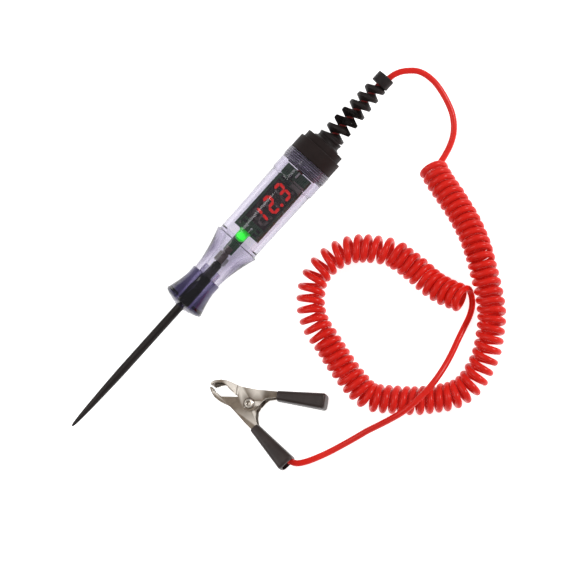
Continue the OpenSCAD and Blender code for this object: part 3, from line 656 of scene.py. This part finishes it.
def relief():
    # neck and end block
    prof = [(165.4, 1.53), (165.4, 5.9, 0.2), (167.9, 5.9, 0.1), (167.9, 3.6), (171.05, 3.6), (171.05, 7.0, 0.2),
            (171.45, 6.9, 0.3), (172.2, 5.7, 0.6), (173.5, 5.6, 0.5), (174.0, 5.92, 0.3), (174.75, 5.88, 0.25), (174.9, 5.4, 0.1),
            (174.9, 1.53)]
    v, f = lathe(filleted(prof, closed=True, seg=4), 96)
    neck = new_object("boot_neck", v, f, mat=M["rubber"].m, sharp=40)
    prof = [(206.9, 1.53), (206.9, 4.2, 0.3), (212, 4.2, 0.35), (212, 3.1, 0.3), (208, 1.53, 0.5)]
    v, f = lathe(filleted(prof, closed=True, seg=5), 96)
    end = new_object("boot_end", v, f, mat=M["rubber"].m, sharp=40)
    # helical rib
    verts, faces = [], []
    a0, steps, da = -403.0, 414, 6.0
    def half(s):
        rt = 5.65 - 1.25 * min(1, max(0, (s - 178.65) / 28.4))
        sec = filleted([(-2.05, 1.62), (-1.95, 1.9, 0.2), (-0.72, rt, 0.3), (0.72, rt, 0.3), (1.95, 1.9, 0.2), (2.05, 1.62)], seg=4)
        return sec
    n = None
    for i in range(steps + 1):
        a = a0 + da * i
        s = 178.65 + 4.86 * a / 360
        sec = half(s)
        n = len(sec)
        ar = math.radians(a)
        for ds, r in sec:
            verts.append(rolled((s + ds - 106, r * math.cos(ar), ZC + r * math.sin(ar))))
    for i in range(steps):
        for k in range(n):
            k1 = (k + 1) % n
            faces.append((i * n + k, i * n + k1, (i + 1) * n + k1, (i + 1) * n + k))
    faces.append(tuple(range(n - 1, -1, -1)))
    faces.append(tuple(steps * n + k for k in range(n)))
    rib = new_object("boot_rib", verts, faces, mat=M["rubber"].m, sharp=50)
    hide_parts("strain_relief")
    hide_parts("strain_relief")
    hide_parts("strain_relief")


def lamp():
    """The green lamp: a domed lens on its flange, lying along the pen."""
    prof = filleted([(117.7, 0), (117.7, 2.9, 0.12), (116.7, 2.9, 0.15), (116.7, 2.5, 0.1), (113.5, 2.5)], seg=3)
    prof += [(113.5 - 2.5 * math.sin(math.radians(a)), 2.5 * math.cos(math.radians(a))) for a in range(8, 90, 8)] + [(111.0, 0)]
    verts, faces = lathe(prof, 72, False)
    verts = [rolled((x, y + LAMP[1], z + LAMP[2])) for x, y, z in verts]
    o = new_object("lamp", verts, faces, mat=M["lamp"].m, sharp=40)
    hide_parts("indicator_led")


handle()
lamp()
bell()
needle()
cap()
relief()

# ------------------------------------------------------------------ the clip

PIVOT = Vector((-44.5, -53.4, 0))
TURN = math.radians(-47.84)


def clip_point(x, y, z):
    c, s = math.cos(TURN), math.sin(TURN)
    return (PIVOT.x + x * c - y * s, PIVOT.y + x * s + y * c, z)


def bevelled(node, name, body, mat):
    """A copy of a lever's sheet metal with its bends and cut edges rounded."""
    src = NODES[node]
    me = src.data.copy()
    me.name = name
    bm = bmesh.new()
    bm.from_mesh(me)
    bmesh.ops.remove_doubles(bm, verts=bm.verts, dist=2e-6)
    bmesh.ops.dissolve_limit(bm, angle_limit=math.radians(1.5), verts=bm.verts, edges=bm.edges)
    bm.normal_update()
    bm.to_mesh(me)
    bm.free()
    me.materials.clear()
    me.materials.append(mat)
    ob = bpy.data.objects.new(name, me)
    SCENE.collection.objects.link(ob)
    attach(ob, body)
    if me.has_custom_normals:
        bpy.context.view_layer.objects.active = ob
        ob.select_set(True)
        bpy.ops.mesh.customdata_custom_splitnormals_clear()
        ob.select_set(False)
    me.shade_smooth()
    b = ob.modifiers.new("edge", "BEVEL")
    b.width = 0.22 * MM
    b.segments = 3
    b.limit_method = "ANGLE"
    b.angle_limit = math.radians(38)
    b.use_clamp_overlap = True
    b.harden_normals = False
    me.set_sharp_from_angle(angle=math.radians(60))
    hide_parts(node)
    return ob


upper = bevelled("clip_upper_lever", "upper_lever", "moving_jaw", M["plate"].m)
lower = bevelled("clip_lower_lever", "lower_lever", "tester", M["plate"].m)


def grip(name, a, b, w, h, body, node, open_end):
    """A dipped sleeve: soft square sections along its middle line."""
    a, b = np.array(a, float), np.array(b, float)
    d = b - a
    length = np.linalg.norm(d)
    d /= length
    o = np.array([-d[1], d[0]])
    n = 64
    zm = 5.2
    stations = []
    lip = 0.35
    # outer skin from the mouth to the end
    for f in (0, 0.12, 0.3, 0.6, 1.0):
        stations.append((f * lip * 0.6, -lip * (1 - math.sin(f * math.pi / 2)) * 0.9, 1))
    for k in range(1, 26):
        stations.append((lip * 0.6 + (length - 1.9) * k / 26, 0, 1))
    for k in range(0, 9):
        t = k / 8 * math.pi / 2
        stations.append((length - 1.3 + 1.3 * math.sin(t), -1.3 * (1 - math.cos(t)), 1))
    def ring(s, inset, inner=0.0):
        f = min(1, max(0, s / length))
        hw = (w[0] + (w[1] - w[0]) * f) / 2 + inset - inner
        hh = (h[0] + (h[1] - h[0]) * f) / 2 + inset - inner
        p = 3.6 + 1.4 * f
        c = a + d * s
        out = []
        for k in range(n):
            t = 2 * math.pi * k / n
            cx, sx = math.cos(t), math.sin(t)
            u = math.copysign(abs(cx) ** (2 / p), cx) * hw
            v = math.copysign(abs(sx) ** (2 / p), sx) * hh
            q = c + o * u
            out.append(clip_point(q[0], q[1], zm + v))
        return out
    verts = []
    rows = []
    for s, inset, _ in stations:
        rows.append(list(range(len(verts), len(verts) + n)))
        verts += ring(s, inset)
    inner_rows = []
    # inside of the sleeve, back to the mouth
    if open_end:
        inner_stations = [(length - 0.05, 1.15), (length - 0.6, 0.95)] + [(length * k / 12, 0.9) for k in range(11, 0, -1)] + [(0.25, 0.62), (0.02, 0.55)]
    else:
        inner_stations = [(length - 3.5, 0.95)] + [(length * k / 12, 0.9) for k in range(9, 0, -1)] + [(0.25, 0.62), (0.02, 0.55)]
    for s, inner in inner_stations:
        inner_rows.append(list(range(len(verts), len(verts) + n)))
        verts += ring(s, 0, inner)
    faces = []
    def stitch(r0, r1):
        for k in range(n):
            k1 = (k + 1) % n
            faces.append((r0[k], r0[k1], r1[k1], r1[k]))
    for r0, r1 in zip(rows, rows[1:]):
        stitch(r0, r1)
    if open_end:
        stitch(rows[-1], inner_rows[0])
    else:
        faces.append(tuple(rows[-1]))
        faces.append(tuple(inner_rows[0]))
    for r0, r1 in zip(inner_rows, inner_rows[1:]):
        stitch(r0, r1)
    stitch(inner_rows[-1], rows[0])
    ob = new_object(name, verts, faces, body=body, mat=M["vinyl"].m, sharp=60)
    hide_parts(node)
    return ob


up_grip = grip("upper_sleeve", [12.4, 3.6], [34.4, 0.6], [4.6, 7.5], [8.6, 10.2], "moving_jaw", "upper_grip", False)
lo_grip = grip("lower_sleeve", [1.95, -10.65], [17.1, -27.25], [4.5, 8.5], [8.6, 10.2], "tester", "lower_grip", True)


def rivet():
    prof = filleted([(0, 0.0), (0, 1.9, 0.25), (0.1, 2.2, 0.2), (0.65, 2.2, 0.25), (0.75, 1.5), (9.6, 1.5), (9.65, 2.15, 0.2),
                     (10.05, 2.2, 0.3), (10.4, 1.7, 0.3), (10.3, 1.0, 0.25), (9.6, 0.8), (8.6, 0.75), (8.6, 0)], seg=4)
    n = 64
    verts, rows = [], []
    for z, r in prof:
        if r < 1e-6:
            rows.append([len(verts)])
            verts.append(clip_point(0, 0, z))
        else:
            rows.append(list(range(len(verts), len(verts) + n)))
            verts += [clip_point(r * math.cos(2 * math.pi * k / n), r * math.sin(2 * math.pi * k / n), z) for k in range(n)]
    faces = []
    for u, v in zip(rows, rows[1:]):
        for k in range(n):
            k1 = (k + 1) % n
            if len(u) == 1:
                faces.append((u[0], v[k], v[k1]))
            elif len(v) == 1:
                faces.append((u[k], v[0], u[k1]))
            else:
                faces.append((u[k], v[k], v[k1], u[k1]))
    o = new_object("rivet", verts, faces, mat=M["rivet"].m, sharp=45)
    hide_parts("clip_rivet")
    return o


riv = rivet()


def spring():
    pts = [(2.4, -11.4, 3.4), (0.9, -7.9, 3.4), (-0.6, -4.5, 3.4), (-1.8, -1.75, 3.4)]
    n = 200
    for i in range(n):
        a = math.radians(203.5 - 1179.5 * i / (n - 1))
        pts.append((2.35 * math.cos(a), 2.35 * math.sin(a), 3.4 + 3.6 * i / (n - 1)))
    pts += [(1.2, 2.72, 7), (4.4, 3.52, 7), (7.9, 4.4, 7)]
    v, f = tube([clip_point(*p) for p in pts], 0.4, 14)
    me = bpy.data.meshes.new("torsion_spring")
    me.from_pydata([tuple(float(c) * MM for c in q) for q in v], [], f)
    me.shade_smooth()
    me.materials.append(M["wire"].m)
    ob = bpy.data.objects.new("torsion_spring", me)
    SCENE.collection.objects.link(ob)
    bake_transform(ob)
    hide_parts("clip_spring")
    return ob


spr = spring()

# ------------------------------------------------------------------ CAD nodes that stay

KEEP = {
    "needle_sleeve": "sleeve", "circuit_board": "board", "probe_terminal": "terminal", "contact_tab": "tab",
    "display_case": "case", "lit_segments": "lit", "unlit_segments": "unlit", "display_pins": "tin",
    "led_leads": "tin", "controller_chip": "chip", "chip_legs": "tin",
    "resistors": "chip", "smoothing_capacitor": "capacitor", "voltage_regulator": "chip",
    # the inner lead takes the cord's red with painted shade
    "protection_diode": "chip", "inner_lead": "cord_painted_shade", "lead_core": "tin", "cord_crimp": "tin",
}
for node, key in KEEP.items():
    ob = NODES[node]
    ob.data.materials.clear()
    ob.data.materials.append(M[key].m)

# ------------------------------------------------------------------ floor and light

def solder():
    """The solder that fills the board's two plated holes beside the lamp."""
    verts, faces = [], []
    n = 24
    for y in (-5.4, 5.4):
        rows = []
        for r, z in ((0, -3.95), (0.45, -3.85), (0.58, -3.55), (0.58, -2.05), (0.95, -1.98), (0.9, -1.9), (0.5, -1.72), (0, -1.64)):
            if r == 0:
                rows.append([len(verts)])
                verts.append(rolled((119 - 106, y, ZC + z)))
            else:
                rows.append(list(range(len(verts), len(verts) + n)))
                verts += [rolled((119 - 106 + r * math.cos(2 * math.pi * k / n), y + r * math.sin(2 * math.pi * k / n), ZC + z))
                          for k in range(n)]
        for u, v in zip(rows, rows[1:]):
            for k in range(n):
                k1 = (k + 1) % n
                if len(u) == 1:
                    faces.append((u[0], v[k], v[k1]))
                elif len(v) == 1:
                    faces.append((u[k], v[0], u[k1]))
                else:
                    faces.append((u[k], v[k], v[k1], u[k1]))
    new_object("solder_joints", verts, faces, mat=M["solder"].m, sharp=60)


solder()


def floor():
    me = bpy.data.meshes.new("floor")
    me.from_pydata([(-3, -3, -0.0002), (3, -3, -0.0002), (3, 3, -0.0002), (-3, 3, -0.0002)], [], [(0, 1, 2, 3)])
    m = Mat("floor_white")
    m.color(m.ramp(m.noise(3, 2), (0.3, (0.78, 0.78, 0.78)), (0.7, (0.8, 0.8, 0.8))))
    m.rough(m.range(m.noise(30, 2), 0.7, 0.8))
    m.set(Specular_IOR_Level=0.0, Emission_Strength=0.85)
    m.bsdf.inputs["Emission Color"].default_value = (1, 1, 1, 1)
    me.materials.append(m.m)
    ob = bpy.data.objects.new("floor", me)
    SCENE.collection.objects.link(ob)


def area(name, where, target, size, power, shape="DISK"):
    li = bpy.data.lights.new(name, "AREA")
    li.shape = shape
    li.size = size
    li.energy = power
    ob = bpy.data.objects.new(name, li)
    SCENE.collection.objects.link(ob)
    ob.location = where
    ob.rotation_euler = (Vector(target) - Vector(where)).to_track_quat("-Z", "Y").to_euler()


floor()
AIM = (0, -0.045, 0.006)


def lamp_at(name, direction, distance, size, power):
    """A round soft light that shines from a direction."""
    area(name, tuple(Vector(AIM) + Vector(direction).normalized() * distance), AIM, size, power)


lamp_at("streak", (0.0, 0.25, 0.92), 1.5, 0.3, 0.6)
lamp_at("right", (0.74, -0.4, 0.54), 1.5, 0.24, 12)
lamp_at("left", (-0.45, 0.45, 0.77), 1.5, 1.0, 8)
w = bpy.data.worlds.new("studio")
w.use_nodes = True
w.node_tree.nodes["Background"].inputs[0].default_value = (1, 0.99, 0.98, 1)
w.node_tree.nodes["Background"].inputs[1].default_value = 0.36
SCENE.world = w
SCENE.view_settings.view_transform = "Standard"
SCENE.view_settings.look = "None"


def glow():
    """The lamp's bloom in the lens."""
    SCENE.use_nodes = True
    t = SCENE.node_tree
    t.nodes.clear()
    layers = t.nodes.new("CompositorNodeRLayers")
    glare = t.nodes.new("CompositorNodeGlare")
    glare.glare_type = "BLOOM"
    glare.quality = "HIGH"
    for k, v in (("Threshold", 1.6), ("Smoothness", 0.1), ("Strength", 1.0), ("Size", 0.2), ("Saturation", 1.0)):
        if k in glare.inputs:
            glare.inputs[k].default_value = v
    out = t.nodes.new("CompositorNodeComposite")
    t.links.new(layers.outputs["Image"], glare.inputs["Image"])
    t.links.new(glare.outputs["Image"], out.inputs["Image"])


glow()
